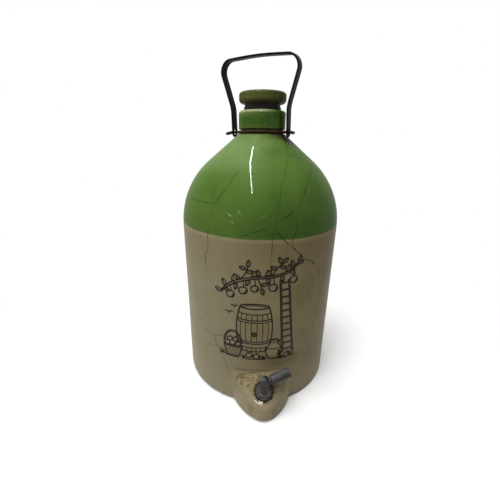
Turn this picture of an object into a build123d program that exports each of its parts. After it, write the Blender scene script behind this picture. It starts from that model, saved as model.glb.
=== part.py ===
from build123d import *
import os
from math import cos, radians, sin, sqrt, tan

# One-gallon stoneware flagon with a screw stopper, a strap carrying handle on a neck wire,
# and a swivel-spout tap in a boss at the foot.
#
# Frame: millimetres, origin at the centre of the flat base, +Z up the jar's axis,
# -Y towards the tap boss. Every size below is set once and everything else follows it.

os.makedirs("parts", exist_ok=True)

# ---------------------------------------------------------------- jar
body_radius = 86.0
wall = 7.0
floor_thickness = 8.0
foot_round = 5.0
inside_corner_round = 9.0
straight_height = 185.5  # base to the spring of the domed shoulder
shoulder_angle = 50.0  # the dome stops this far up, and a cone runs on from it to the neck

# ---------------------------------------------------------------- neck and mouth
groove_radius = 21.5
groove_height = 4.1
groove_round = 0.6
ledge_width = 2.6  # flat below the groove, which the neck wires sit on
ledge_round = 1.0
collar_radius = 24.0
collar_height = 17.7
collar_top_round = 3.0
collar_foot_round = 1.2
throat_round = 3.0
cut_past = 1.0  # how far a cut runs on past the face that it opens

# ---------------------------------------------------------------- screw thread
shank_radius = 11.5
thread_pitch = 4.5
thread_turns = 3.0
thread_height = 1.9
thread_crest = 1.3
thread_root = 2.7
thread_bite = 0.3  # how far the thread's root is buried in the shank
thread_clearance = 0.35
bore_clearance = 0.5
thread_lead_in = 2.3  # plain shank between the mouth and the first turn
shank_tip = 0.6  # plain shank below the last turn

# ---------------------------------------------------------------- stopper and rubber ring
head_radius = 23.8
head_height = 10.2
head_round = 2.6
head_under_round = 3.8
stem_radius = 12.8  # plain part of the stopper that carries the rubber ring
ring_clearance = 0.1
ring_height = 6.3
ring_radius = 18.0
ring_lip_radius = 18.8
ring_lip_height = 3.6
ring_round = 1.3

# ---------------------------------------------------------------- neck wires
wire_radius = 1.4
wire_clearance = 0.3  # between each wire and the bottom of the groove
wire_lift = 0.5  # between each wire and the ledge
wire_pair_gap = 0.1  # between the two wires where they pass through the strap
wire_bend = 3.0
wire_reach_left = 42.0  # jar axis to the tips of the wires
wire_reach_right = 35.0
wire_droop = 12.0
wire_droop_bend = 6.0

# ---------------------------------------------------------------- carrying handle
handle_yaw = -29.4  # how far round the neck the handle stands, from the boss's left and right
handle_lean = 5.5  # towards the boss's side of the neck
handle_shift = -1.6  # along the wires, as it hangs on them
strap_width = 9.8
strap_thickness = 1.8
strap_edge_round = 0.5
leg_spacing = 61.2
leg_drop = 0.1  # centre of the strap's round end, below the hole
strap_hole_clearance = 0.25
knee_height = 23.2
knee_bend = 32.0
shoulder_spread = 43.5  # half the width at which the legs would meet the top bar
corner_bend = 10.7
bar_height = 65.4
bar_crown = 2.3
bar_bend = 300.0

# ---------------------------------------------------------------- tap boss
boss_stand = 24.6  # how far the boss stands out of the wall
boss_nose_radius = 17.0
boss_nose_angle = 34.0  # the nose turns this far each way, and the fuller cheeks run on from it
boss_cheek_radius = 56.0
boss_flare = 7.1
boss_slope = 45.0
boss_front_height = 19.2
boss_crown_radius = 110.0
boss_rim_round = 7.5
socket_setback = 11.3  # tip of the boss to the middle of the socket
socket_radius = 9.5
socket_depth = 14.0
passage_radius = 7.5
passage_depth = 26.0

# ---------------------------------------------------------------- tap
bush_clearance = 0.05
bush_proud = 1.0
barrel_radius = 6.0
barrel_bore = 4.0
barrel_depth = 22.0
flange_radius = 8.2
flange_height = 2.2
flange_round = 0.8
port_depth = 18.0
port_radius = 2.1
washer_radius = 6.6
washer_height = 0.7
running_clearance = 0.05
hub_radius = 6.3
hub_height = 3.0
hub_round = 1.0
plug_bore = 2.2
plug_bore_end = 2.6  # solid plug below the port
clip_radius = 5.4
clip_thickness = 1.0
clip_seat = 3.0
clip_gap = 2.6
clip_clearance = 0.08
clip_land = 1.2  # plug left below the clip
riser_base = 4.6
riser_radius = 4.1
riser_height = 14.2
riser_knob_radius = 4.7
spout_rise = 20.0  # spout's angle above level in the closed position, in the plane of the slope
spout_height = 11.2  # up the riser
spigot_length = 11.0
spigot_radius = 3.3
spout_start = 6.8
spout_reach = 27.5
spout_radius = 5.1
spout_lip_round = 0.5

# ---------------------------------------------------------------- worked out from the above
cone_rise = tan(radians(90 - shoulder_angle))
dome_end_radius = body_radius * cos(radians(shoulder_angle))
dome_end_height = straight_height + body_radius * sin(radians(shoulder_angle))
ledge_radius = groove_radius + ledge_width
ledge_z = dome_end_height + (dome_end_radius - ledge_radius) * cone_rise
collar_z = ledge_z + groove_height
rim_z = collar_z + collar_height
bore_radius = shank_radius + bore_clearance
inner_radius = body_radius - wall
throat_z = (
    straight_height
    + inner_radius * sin(radians(shoulder_angle))
    + (inner_radius * cos(radians(shoulder_angle)) - bore_radius) * cone_rise
)
head_z = rim_z + ring_height
thread_top_z = rim_z - thread_lead_in
thread_length = thread_pitch * thread_turns
shank_bottom_z = thread_top_z - thread_length - thread_root / 2 - shank_tip
threaded_z = shank_bottom_z
threaded_radius = (bore_radius + thread_height + thread_clearance + collar_radius) / 2
boss_reach = body_radius + boss_stand
boss_crest = boss_front_height + boss_stand * tan(radians(boss_slope))
wire_ring_radius = groove_radius + wire_clearance + wire_radius
wire_z = ledge_z + wire_lift + wire_radius
wire_offset = wire_radius + wire_pair_gap / 2
strap_hole_radius = wire_offset + wire_radius + strap_hole_clearance
leg_x = leg_spacing / 2
flange_z = bush_proud + flange_height
hub_z = flange_z + washer_height + running_clearance
stem_tap_radius = barrel_bore - running_clearance
clip_z = -barrel_depth - clip_clearance - clip_thickness
open_turn = 90 + spout_rise

neck_frame = Plane.XY.rotated((0, 0, handle_yaw))
tap_frame = Plane(
    origin=(0, socket_setback - boss_reach, boss_front_height + socket_setback * tan(radians(boss_slope))),
    x_dir=(1, 0, 0),
    z_dir=(0, -sin(radians(boss_slope)), cos(radians(boss_slope))),
)


def write(node, shape):
    """Writes one piece as its own STEP file."""
    export_step(shape, f"parts/{node}.step")


def ring(inner, outer, low, high):
    """A plain ring or tube about the local Z axis."""
    tube = Circle(outer) - Circle(inner)
    return Pos(0, 0, low) * extrude(tube, high - low)


def rod(radius, low, high):
    """A plain cylinder about the local Z axis."""
    return Pos(0, 0, low) * extrude(Circle(radius), high - low)


def corners_at(face, *points):
    """The corners of a flat outline that lie at the given places."""
    near = 0.001
    return [v for v in face.vertices() if any((Vector(v) - Vector(*p)).length < near for p in points)]


# ---------------------------------------------------------------- jar
def jar_outside():
    side = Line((body_radius, 0), (body_radius, straight_height))
    dome = CenterArc((0, straight_height), body_radius, 0, shoulder_angle)
    neck = Polyline(
        (dome_end_radius, dome_end_height),
        (ledge_radius, ledge_z),
        (groove_radius, ledge_z),
        (groove_radius, collar_z),
        (collar_radius, collar_z),
        (collar_radius, rim_z),
        (0, rim_z),
        (0, 0),
        (body_radius, 0),
    )
    face = make_face([*side.edges(), *dome.edges(), *neck.edges()])
    face = fillet(corners_at(face, (ledge_radius, ledge_z)), ledge_round)
    face = fillet(corners_at(face, (groove_radius, ledge_z)), groove_round)
    face = fillet(corners_at(face, (collar_radius, collar_z)), collar_foot_round)
    face = fillet(corners_at(face, (collar_radius, rim_z)), collar_top_round)
    return revolve(Plane.XZ * face, Axis.Z)


def jar_inside():
    arc_end = (
        inner_radius * cos(radians(shoulder_angle)),
        straight_height + inner_radius * sin(radians(shoulder_angle)),
    )
    side = Line((inner_radius, floor_thickness), (inner_radius, straight_height))
    dome = CenterArc((0, straight_height), inner_radius, 0, shoulder_angle)
    rest = Polyline(
        arc_end,
        (bore_radius, throat_z),
        (bore_radius, rim_z + cut_past),
        (0, rim_z + cut_past),
        (0, floor_thickness),
        (inner_radius, floor_thickness),
    )
    face = make_face([*side.edges(), *dome.edges(), *rest.edges()])
    face = fillet(corners_at(face, (inner_radius, floor_thickness)), inside_corner_round)
    face = fillet(corners_at(face, (bore_radius, throat_z)), throat_round)
    return revolve(Plane.XZ * face, Axis.Z)


def boss_outline():
    """The boss seen from above: a round nose, fuller cheeks and small hollow flares into the wall."""
    lean = radians(boss_nose_angle)
    nose_centre = Vector(0, boss_nose_radius - boss_reach)
    edge_of_nose = Vector(sin(lean), -cos(lean))
    cheek_centre = nose_centre - edge_of_nose * (boss_cheek_radius - boss_nose_radius)
    # The flare's centre lies boss_flare outside both the cheek and the wall.
    from_wall = body_radius + boss_flare
    from_cheek = boss_cheek_radius + boss_flare
    apart = cheek_centre.length
    along = (from_wall**2 - from_cheek**2 + apart**2) / (2 * apart)
    aside = sqrt(from_wall**2 - along**2)
    towards = cheek_centre.normalized()
    flare_centre = towards * along + Vector(-towards.Y, towards.X) * aside
    on_nose = nose_centre + edge_of_nose * boss_nose_radius
    on_cheek = cheek_centre + (flare_centre - cheek_centre).normalized() * boss_cheek_radius
    on_wall = flare_centre.normalized() * body_radius
    mid_cheek = cheek_centre + ((on_nose + on_cheek) * 0.5 - cheek_centre).normalized() * boss_cheek_radius
    mid_flare = flare_centre + ((on_cheek + on_wall) * 0.5 - flare_centre).normalized() * boss_flare

    def mirrored(point):
        return Vector(-point.X, point.Y)

    nose = ThreePointArc(on_nose, (0, -boss_reach), mirrored(on_nose))
    pieces = [nose]
    for side in (lambda point: point, mirrored):
        pieces.append(ThreePointArc(side(on_nose), side(mid_cheek), side(on_cheek)))
        pieces.append(ThreePointArc(side(on_cheek), side(mid_flare), side(on_wall)))
        pieces.append(Line(side(on_wall), (0, 0)))
    return make_face([edge for piece in pieces for edge in piece.edges()])


def boss():
    """The boss, with its crowned top sloping down from the wall to a rounded rim."""
    block = extrude(boss_outline(), boss_crest + body_radius)
    crown = Rot(90, 0, 0) * Cylinder(boss_crown_radius, 4 * body_radius)
    block = block & tap_frame * (Pos(0, 0, -boss_crown_radius) * crown)
    top = max(block.faces().filter_by(GeomType.CYLINDER), key=lambda face: face.area)
    inside_wall = (body_radius - foot_round) ** 2
    rim = [e for e in top.edges() if (e @ 0.5).X ** 2 + (e @ 0.5).Y ** 2 > inside_wall]
    return fillet(rim, boss_rim_round)


def thread(core, height, crest, root, low, length):
    """One helical ridge standing on a core of the given radius."""
    path = Pos(0, 0, low) * Helix(thread_pitch, length, core)
    ridge = Polyline(
        (core - thread_bite, low - root / 2),
        (core + height, low - crest / 2),
        (core + height, low + crest / 2),
        (core - thread_bite, low + root / 2),
        close=True,
    )
    return sweep(Plane.XZ * make_face(ridge), path=path, is_frenet=True)


def threaded_mouth():
    """The inner part of the neck, with the stopper's thread cut right out through the rim."""
    play = thread_clearance
    groove = thread(
        shank_radius,
        thread_height + play,
        thread_crest + 2 * play,
        thread_root + 2 * play,
        thread_top_z - thread_length,
        thread_length + thread_pitch,
    )
    above_rim = 2 * thread_pitch
    blank = ring(bore_radius, threaded_radius, threaded_z, rim_z + above_rim)
    return blank - groove - rod(collar_radius, rim_z, rim_z + above_rim)


def jar_body():
    shell = jar_outside() + boss()
    base = shell.faces().sort_by(Axis.Z)[0]
    shell = fillet(base.edges(), foot_round)
    shell = shell - jar_inside() - rod(threaded_radius, threaded_z, rim_z) + threaded_mouth()
    socket = tap_frame * rod(socket_radius, -socket_depth, boss_crown_radius)
    passage = tap_frame * rod(passage_radius, -passage_depth, 0)
    return shell - socket - passage


# ---------------------------------------------------------------- stopper
def stopper():
    head = Pos(0, 0, head_z) * extrude(Circle(head_radius), head_height)
    head = fillet(head.edges().sort_by(Axis.Z)[-1], head_round)
    head = fillet(head.edges().sort_by(Axis.Z)[0], head_under_round)
    stem = rod(stem_radius, rim_z, head_z + head_height / 2)
    shank = rod(shank_radius, shank_bottom_z, rim_z)
    ridge = thread(
        shank_radius, thread_height, thread_crest, thread_root, thread_top_z - thread_length, thread_length
    )
    return head + stem + shank + ridge


def stopper_ring():
    body = ring(stem_radius + ring_clearance, ring_radius, rim_z, head_z)
    lip = ring(stem_radius + ring_clearance, ring_lip_radius, rim_z, rim_z + ring_lip_height)
    lip_edges = lip.edges().filter_by(GeomType.CIRCLE).filter_by(lambda e: e.radius > ring_radius)
    return body + fillet(lip_edges, ring_round)


# ---------------------------------------------------------------- neck wires
def neck_wire(side):
    """Half of the neck ring, from tip to tip. side is -1 for the front half and +1 for the back."""
    straight = -side * wire_offset
    bend = wire_ring_radius + wire_bend
    bend_y = wire_offset + wire_bend
    bend_x = sqrt(bend**2 - bend_y**2)
    touch = wire_ring_radius / bend
    lean = radians(wire_droop)
    fall = wire_droop_bend * (cos(lean) - 1)

    def at(x, y, drop=0.0):
        return Vector(x, side * y, wire_z + drop)

    def half(sign, leg, reach):
        droop_x = leg + strap_thickness
        droop_end = droop_x + wire_droop_bend * sin(lean)
        middle = Vector(bend_x, bend_y) + (
            Vector(bend_x * (touch - 1), bend_y * (touch - 1)) + Vector(0, -wire_bend)
        ).normalized() * wire_bend
        bent = ThreePointArc(
            at(sign * droop_x, wire_offset),
            at(
                sign * (droop_x + wire_droop_bend * sin(lean / 2)),
                wire_offset,
                wire_droop_bend * (cos(lean / 2) - 1),
            ),
            at(sign * droop_end, wire_offset, fall),
        )
        tip = Line(
            at(sign * droop_end, wire_offset, fall),
            at(sign * reach, wire_offset, fall - (reach - droop_end) * tan(lean)),
        )
        stub = Line(at(sign * bend_x, wire_offset), at(sign * droop_x, wire_offset))
        turn = ThreePointArc(
            at(sign * bend_x, wire_offset),
            at(sign * middle.X, middle.Y),
            at(sign * bend_x * touch, bend_y * touch),
        )
        return [tip, bent, stub, turn]

    hoop = ThreePointArc(
        at(bend_x * touch, bend_y * touch), at(0, wire_ring_radius), at(-bend_x * touch, bend_y * touch)
    )
    right = half(1, leg_x + handle_shift, wire_reach_right)
    left = half(-1, leg_x - handle_shift, wire_reach_left)
    pieces = [*right, hoop, *reversed(left)]
    path = Wire([edge for piece in pieces for edge in piece.edges()])
    start = Plane(origin=path @ 0, z_dir=path % 0)
    return neck_frame * sweep(start * Circle(wire_radius), path=path)


# ---------------------------------------------------------------- carrying handle
def strap_section():
    return RectangleRounded(strap_thickness, strap_width, strap_edge_round)


def carrying_handle():
    """The strap, drawn upright about the wires and then leant and shifted to where it hangs."""
    path = FilletPolyline(
        (leg_x, 0, -leg_drop),
        (leg_x, 0, knee_height),
        (shoulder_spread, 0, bar_height),
        (0, 0, bar_height + bar_crown),
        (-shoulder_spread, 0, bar_height),
        (-leg_x, 0, knee_height),
        (-leg_x, 0, -leg_drop),
        radius=[knee_bend, corner_bend, bar_bend, corner_bend, knee_bend],
    )
    start = Plane(origin=(leg_x, 0, -leg_drop), x_dir=(1, 0, 0), z_dir=(0, 0, 1))
    strap = sweep(start * strap_section(), path=path)
    for x in (leg_x, -leg_x):
        end = Pos(x, 0, -leg_drop) * Rot(0, 90, 0) * Cylinder(strap_width / 2, strap_thickness)
        strap = strap + fillet(end.edges().filter_by(GeomType.CIRCLE), strap_edge_round)
    for x in (leg_x, -leg_x):
        strap = strap - Pos(x, 0, 0) * Rot(0, 90, 0) * Cylinder(strap_hole_radius, 3 * strap_thickness)
    return neck_frame * Pos(handle_shift, 0, wire_z) * Rot(handle_lean, 0, 0) * strap


# ---------------------------------------------------------------- tap
def turned_about_tap(angle):
    """A direction square to the tap's axis, counted from level towards up the slope."""
    return Vector(cos(radians(angle)), sin(radians(angle)), 0)


def rod_along(start, direction, radius, length):
    """A plain cylinder from a start point along any direction."""
    return Plane(origin=start, z_dir=direction) * extrude(Circle(radius), length)


def tap_bush():
    inner, outer = barrel_radius + bush_clearance, socket_radius - bush_clearance
    return tap_frame * ring(inner, outer, -socket_depth, bush_proud)


def tap_barrel():
    flange = fillet(rod(flange_radius, bush_proud, flange_z).edges(), flange_round)
    barrel = rod(barrel_radius, -barrel_depth, flange_z) + flange
    barrel = barrel - rod(barrel_bore, -barrel_depth - cut_past, flange_z + cut_past)
    port = rod_along((0, 0, -port_depth), turned_about_tap(90), port_radius, 2 * barrel_radius)
    return tap_frame * (barrel - port)


def tap_washer():
    return tap_frame * ring(barrel_bore + bush_clearance, washer_radius, flange_z, flange_z + washer_height)


def riser_direction():
    """Straight up, as the tap's own frame sees it."""
    return Vector(0, sin(radians(boss_slope)), cos(radians(boss_slope)))


def spout_root():
    return Vector(0, 0, riser_base) + riser_direction() * spout_height


def tap_plug():
    up = riser_direction()
    out = turned_about_tap(spout_rise)
    base = Vector(0, 0, riser_base)
    low = clip_z - clip_land
    hub = fillet(rod(hub_radius, hub_z, hub_z + hub_height).edges().sort_by(Axis.Z)[-1], hub_round)
    knob = Pos(*(base + up * riser_height)) * Sphere(riser_knob_radius)
    riser = rod_along(base, up, riser_radius, riser_height) - rod(2 * hub_radius, 0, hub_z)
    plug = rod(stem_tap_radius, low, hub_z) + hub + riser + knob
    plug = plug + rod_along(spout_root(), out, spigot_radius, spigot_length)
    way_in = rod_along((0, 0, -port_depth), turned_about_tap(90 + open_turn), port_radius, 2 * barrel_radius)
    way_up = rod(plug_bore, -port_depth - plug_bore_end, riser_base)
    way_on = rod_along(base, up, plug_bore, spout_height)
    way_out = rod_along(spout_root(), out, plug_bore, spigot_length + cut_past)
    clip_top = clip_z + clip_thickness
    groove = ring(clip_seat, stem_tap_radius + cut_past, clip_z - clip_clearance, clip_top + clip_clearance)
    return tap_frame * (plug - way_in - way_up - way_on - way_out - groove)


def spout_tube():
    out = turned_about_tap(spout_rise)
    start = spout_root() + out * spout_start
    tube = rod_along(start, out, spout_radius, spout_reach - spout_start)
    tube = fillet(tube.edges(), spout_lip_round)
    bore = rod_along(start, out, spigot_radius + bush_clearance, spout_reach)
    return tap_frame * (tube - bore)


def plug_clip():
    clip = ring(clip_seat + clip_clearance, clip_radius, clip_z, clip_z + clip_thickness)
    opening = Pos(0, clip_radius, clip_z) * Box(clip_gap, 2 * clip_radius, 4 * clip_thickness)
    return tap_frame * (clip - opening)


pieces = {
    "jar_body": jar_body(),
    "stopper": stopper(),
    "stopper_ring": stopper_ring(),
    "neck_wire_front": neck_wire(-1),
    "neck_wire_back": neck_wire(1),
    "carrying_handle": carrying_handle(),
    "tap_bush": tap_bush(),
    "tap_barrel": tap_barrel(),
    "tap_washer": tap_washer(),
    "tap_plug": tap_plug(),
    "spout_tube": spout_tube(),
    "plug_clip": plug_clip(),
}
for node, piece in pieces.items():
    write(node, piece)
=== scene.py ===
"""Looks of the stoneware flagon: crazed two-tone glaze, line transfer, rubber, iron and tarnished tap."""

from math import cos, exp, pi, radians, sin, sqrt

import bpy
from mathutils import Matrix, Vector, noise


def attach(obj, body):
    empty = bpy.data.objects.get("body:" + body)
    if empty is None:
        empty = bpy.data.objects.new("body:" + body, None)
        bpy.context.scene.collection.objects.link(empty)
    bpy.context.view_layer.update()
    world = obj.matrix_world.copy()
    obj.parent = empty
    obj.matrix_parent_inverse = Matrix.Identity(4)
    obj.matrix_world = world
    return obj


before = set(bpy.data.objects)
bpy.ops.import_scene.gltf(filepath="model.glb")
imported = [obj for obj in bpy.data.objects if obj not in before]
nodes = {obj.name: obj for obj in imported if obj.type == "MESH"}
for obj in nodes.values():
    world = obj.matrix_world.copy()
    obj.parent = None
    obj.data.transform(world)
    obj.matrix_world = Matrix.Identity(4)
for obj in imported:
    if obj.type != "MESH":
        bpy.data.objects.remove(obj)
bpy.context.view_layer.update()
MM = 0.001

# Places that the finish follows, in millimetres in the part's own frame.
BODY_RADIUS = 86.0
STRAIGHT_HEIGHT = 185.5  # top of the straight wall
SHOULDER_ANGLE = radians(50.0)  # how far the shoulder turns in before it runs straight
GLAZE_LINE = 189.5  # where the green meets the cream
GLAZE_BLUR = 0.7
LEDGE = 277.5  # top of the shoulder, under the wires
RIM = 299.3
HEAD = 305.6  # underside of the stopper's head
TAP_CENTRE = Vector((0.0, -99.3, 30.5))
TAP_AXIS = Vector((0.0, -0.707107, 0.707107))
UP_THE_SLOPE = Vector((0.0, 0.707107, 0.707107))
BOSS_CROWN = 110.0  # radius of the boss's top from side to side
STRAP_FOOT = (24.0, -18.5, LEDGE - 2)
BEHIND_TAP = (9.0, -94.0, 34.5)
PITS = ((-2.7, -77.9, 219.7), (6.8, -81.0, 210.8))

# Strokes on the glaze, in millimetres.
CRACK_LIFT, PRINT_LIFT = 0.05, 0.08  # how far they stand off it
CRACK_WEIGHT, PRINT_WEIGHT = 1.2, 1.6  # factors on their listed widths
LONGEST_STEP = 2.0
CRACK_STEP = 1.2
WANDER_SIZE, WANDER = 4.5, 0.7  # length of a crack's waves, and how far they go either way
WANDER_SEED = 1  # fixes the noise that the cracks wander by, which would otherwise follow the clock
NOISE_STEP, BOSS_NOISE = 3.7, 50  # where in the noise each crack is, so that no two wander alike
PRINT_MIDDLE = radians(-3.5)  # from the tap side to the right
PRINT_FOOT = 60.0

# Surroundings, in metres and watts.
CAMERA_PLACE = (-0.02932, -0.32288, 0.26942)
WORLD_LEVEL = 0.15
FLOOR_RADIUS, FLOOR_DROP = 4.0, 0.0002
FLOOR_WHITE_FROM, FLOOR_WHITE_BY = 130.0, 450.0  # millimetres from the origin
LAMPS = (  # name, place, target, size and power
    ("window_light", (-0.75, -0.75, 0.95), (0, 0, 0.18), (0.7, 0.7), 7.2),
    ("ceiling_light", (-0.1, -0.1, 1.3), (0, 0, 0.2), (1.0, 1.0), 18.5),
    ("side_light", (-0.9, 0.1, 0.9), (0, 0, 0.22), (0.7, 0.7), 3.0),
)
TUBE_TARGET, PANE_TARGET, LOW_TARGET = (-0.23, -0.32, 0.2), (-0.030, -0.077, 0.208), (-0.007, -0.106, 0.023)
PANES = (  # both ends and the glow
    ((-0.432, -0.341, 0.360), (-0.384, -0.406, 0.340), 1.4),
    ((-0.305, -0.444, 0.407), (-0.277, -0.475, 0.380), 1.4),
    ((-0.388, -0.422, 0.273), (-0.358, -0.451, 0.264), 0.6),
    ((-0.322, -0.468, 0.314), (-0.296, -0.488, 0.303), 0.5),
)
STRIPS = (  # name, both ends, target, width, glow and beam in degrees
    ("ceiling_tube", (-0.168, 0.165, 1.135), (-0.292, -0.80, 1.135), TUBE_TARGET, 0.03, 380.0, 180.0),
    *(("window_pane", start, end, PANE_TARGET, 0.007, glow, 16.0) for start, end, glow in PANES),
    ("low_window", (-0.171, -0.488, 0.218), (0.027, -0.437, 0.338), LOW_TARGET, 0.035, 12.0, 40.0),
)


# ---------------------------------------------------------------- camera, floor and light
def add_camera():
    """A slightly rolled camera in front of the jar and a little to its left, looking down on it."""
    data = bpy.data.cameras.new("camera")
    data.sensor_width = 36.0
    data.lens = 20.686
    data.clip_start = 0.01
    camera = bpy.data.objects.new("camera", data)
    heading, pitch, roll = radians(3.32), radians(20.55), radians(0.85)
    forward = Vector((sin(heading) * cos(pitch), cos(heading) * cos(pitch), -sin(pitch)))
    right = forward.cross(Vector((0, 0, 1))).normalized()
    up = right.cross(forward)
    right, up = cos(roll) * right + sin(roll) * up, cos(roll) * up - sin(roll) * right
    turn = Matrix((right, up, -forward)).transposed()
    camera.matrix_world = Matrix.Translation(CAMERA_PLACE) @ turn.to_4x4()
    bpy.context.scene.collection.objects.link(camera)
    bpy.context.scene.camera = camera


def area_lamp(name, size, place, turn):
    """A rectangular lamp that shines along its own -Z. size is (width, height)."""
    data = bpy.data.lights.new(name, "AREA")
    data.shape = "RECTANGLE"
    data.size, data.size_y = size
    lamp = bpy.data.objects.new(name, data)
    lamp.matrix_world = Matrix.Translation(place) @ turn.to_4x4()
    bpy.context.scene.collection.objects.link(lamp)
    return lamp


def add_lamp(name, place, target, size, power):
    """A broad lamp facing target, left out of the reflections."""
    turn = (Vector(place) - Vector(target)).to_track_quat("Z", "Y").to_matrix()
    lamp = area_lamp(name, size, place, turn)
    lamp.data.energy = power
    lamp.visible_glossy = False


def add_strip(name, start, end, target, width, glow, beam):
    """A narrow lamp between two points, facing target, that shows only as a glint.

    glow is its power for each square metre, and beam is how wide it shines, in degrees.
    """
    start, end = Vector(start), Vector(end)
    middle = (start + end) / 2
    along = (end - start).normalized()
    side = along.cross(middle - Vector(target)).normalized()
    turn = Matrix((side, along, side.cross(along))).transposed()
    lamp = area_lamp(name, (width, (end - start).length), middle, turn)
    lamp.data.energy = glow * lamp.data.size * lamp.data.size_y
    lamp.data.spread = radians(beam)
    lamp.visible_diffuse = False


# ---------------------------------------------------------------- node materials
def srgb(red, green, blue):
    """A colour written as it looks, 0 to 255, for a shader socket."""
    linear = [c / 255 / 12.92 if c <= 10 else ((c / 255 + 0.055) / 1.055) ** 2.4 for c in (red, green, blue)]
    return (*linear, 1.0)


def grey(level):
    """A plain level as a colour, for blends of roughness and for the floor."""
    return (level, level, level, 1.0)


class Graph:
    """A material's node tree, with a short call for each kind of node that the finishes use."""

    def __init__(self, name):
        self.material = bpy.data.materials.new(name)
        self.material.use_nodes = True
        self.tree = self.material.node_tree
        self.tree.nodes.clear()
        self.place = self.vector("SCALE", self.add("ShaderNodeTexCoord").outputs["Object"], scale=1000.0)
        apart = self.add("ShaderNodeSeparateXYZ", {0: self.place})
        self.x, self.y, self.z = apart.outputs

    def fill(self, socket, value):
        """Links a node's output to the socket, or sets the socket to a plain value."""
        if isinstance(value, bpy.types.NodeSocket):
            self.tree.links.new(value, socket)
        else:
            socket.default_value = value

    def add(self, kind, inputs=None, **settings):
        """A node with its settings and inputs, whose keys are sockets' names or numbers."""
        node = self.tree.nodes.new(kind)
        for name, value in settings.items():
            setattr(node, name, value)
        for key, value in (inputs or {}).items():
            self.fill(node.inputs[key], value)
        return node

    def math(self, operation, *values):
        """Arithmetic on numbers and outputs."""
        return self.add("ShaderNodeMath", dict(enumerate(values)), operation=operation).outputs[0]

    def vector(self, operation, *values, scale=None):
        """Vector arithmetic; a length, distance or dot product comes out as a number."""
        inputs = dict(enumerate(values))
        if scale is not None:
            inputs["Scale"] = scale
        node = self.add("ShaderNodeVectorMath", inputs, operation=operation)
        return node.outputs["Value" if operation in ("LENGTH", "DISTANCE", "DOT_PRODUCT") else "Vector"]

    def stretched(self, x, y, z):
        """The place with each axis scaled, so that what follows it is drawn out along a small one."""
        return self.vector("MULTIPLY", self.place, (x, y, z))

    def off_axis(self):
        """Distance from the jar's upright axis."""
        return self.vector("LENGTH", self.stretched(1, 1, 0))

    def noise(self, size, detail=2.0, roughness=0.5, vector=None):
        """Noise of about the given size in millimetres, from 0 to 1."""
        inputs = {"Scale": 1.0 / size, "Detail": detail, "Roughness": roughness}
        inputs["Vector"] = self.place if vector is None else vector
        return self.add("ShaderNodeTexNoise", inputs).outputs["Fac"]

    def shifted(self, size, amount):
        """The place, wandering by up to the given amount."""
        inputs = {"Vector": self.place, "Scale": 1.0 / size, "Detail": 2.0}
        wander = self.add("ShaderNodeTexNoise", inputs).outputs["Color"]
        wander = self.vector("SUBTRACT", wander, (0.5, 0.5, 0.5))
        return self.vector("ADD", self.place, self.vector("SCALE", wander, scale=amount))

    def ragged(self, value, noise, spread):
        """The value, moved either way by up to half the spread."""
        return self.math("ADD", value, self.times(self.math("SUBTRACT", noise, 0.5), spread))

    def cell_edges(self, size, vector):
        """Distance in millimetres from the nearest edge of cells of about the given size."""
        inputs = {"Vector": vector, "Scale": 1.0 / size}
        node = self.add("ShaderNodeTexVoronoi", inputs, feature="DISTANCE_TO_EDGE")
        return self.math("MULTIPLY", node.outputs["Distance"], size)

    def fade(self, value, low, high):
        """0 below low, 1 above high and smooth between; low may be the larger."""
        inputs = {"Value": value, "From Min": low, "From Max": high}
        if low > high:
            inputs.update({"From Min": high, "From Max": low, "To Min": 1.0, "To Max": 0.0})
        return self.add("ShaderNodeMapRange", inputs, interpolation_type="SMOOTHSTEP").outputs[0]

    def times(self, *values):
        """The product of the values."""
        result = values[0]
        for value in values[1:]:
            result = self.math("MULTIPLY", result, value)
        return result

    def blend(self, amount, first, second):
        """The first colour where amount is 0 and the second where it is 1."""
        node = self.add("ShaderNodeMix", data_type="RGBA")
        for name, kind, value in (("Factor", "VALUE", amount), ("A", "RGBA", first), ("B", "RGBA", second)):
            self.fill(next(s for s in node.inputs if s.name == name and s.type == kind), value)
        return next(s for s in node.outputs if s.type == "RGBA")

    def tint(self, colour, other, *amounts):
        """The colour, drawn towards the other one by the product of the amounts."""
        return self.blend(self.times(*amounts), colour, other)

    def bump(self, height, distance, normal=None):
        """A bump whose height, 0 to 1, stands for the given distance in millimetres."""
        inputs = {"Height": height, "Distance": distance * MM}
        if normal is not None:
            inputs["Normal"] = normal
        return self.add("ShaderNodeBump", inputs).outputs[0]

    def finish(self, colour, roughness, normal=None, **constants):
        """The surface. constants are sockets of the shader that are the same all over."""
        inputs = {"Base Color": colour, "Roughness": roughness}
        if normal is not None:
            inputs["Normal"] = normal
        inputs.update({name.replace("_", " "): value for name, value in constants.items()})
        shader = self.add("ShaderNodeBsdfPrincipled", inputs)
        self.add("ShaderNodeOutputMaterial", {"Surface": shader.outputs[0]})
        return self.material


def above_glaze_line(g, height):
    """1 on the green side of the glaze line and 0 on the cream side."""
    return g.fade(height, GLAZE_LINE - GLAZE_BLUR, GLAZE_LINE + GLAZE_BLUR)


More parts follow.
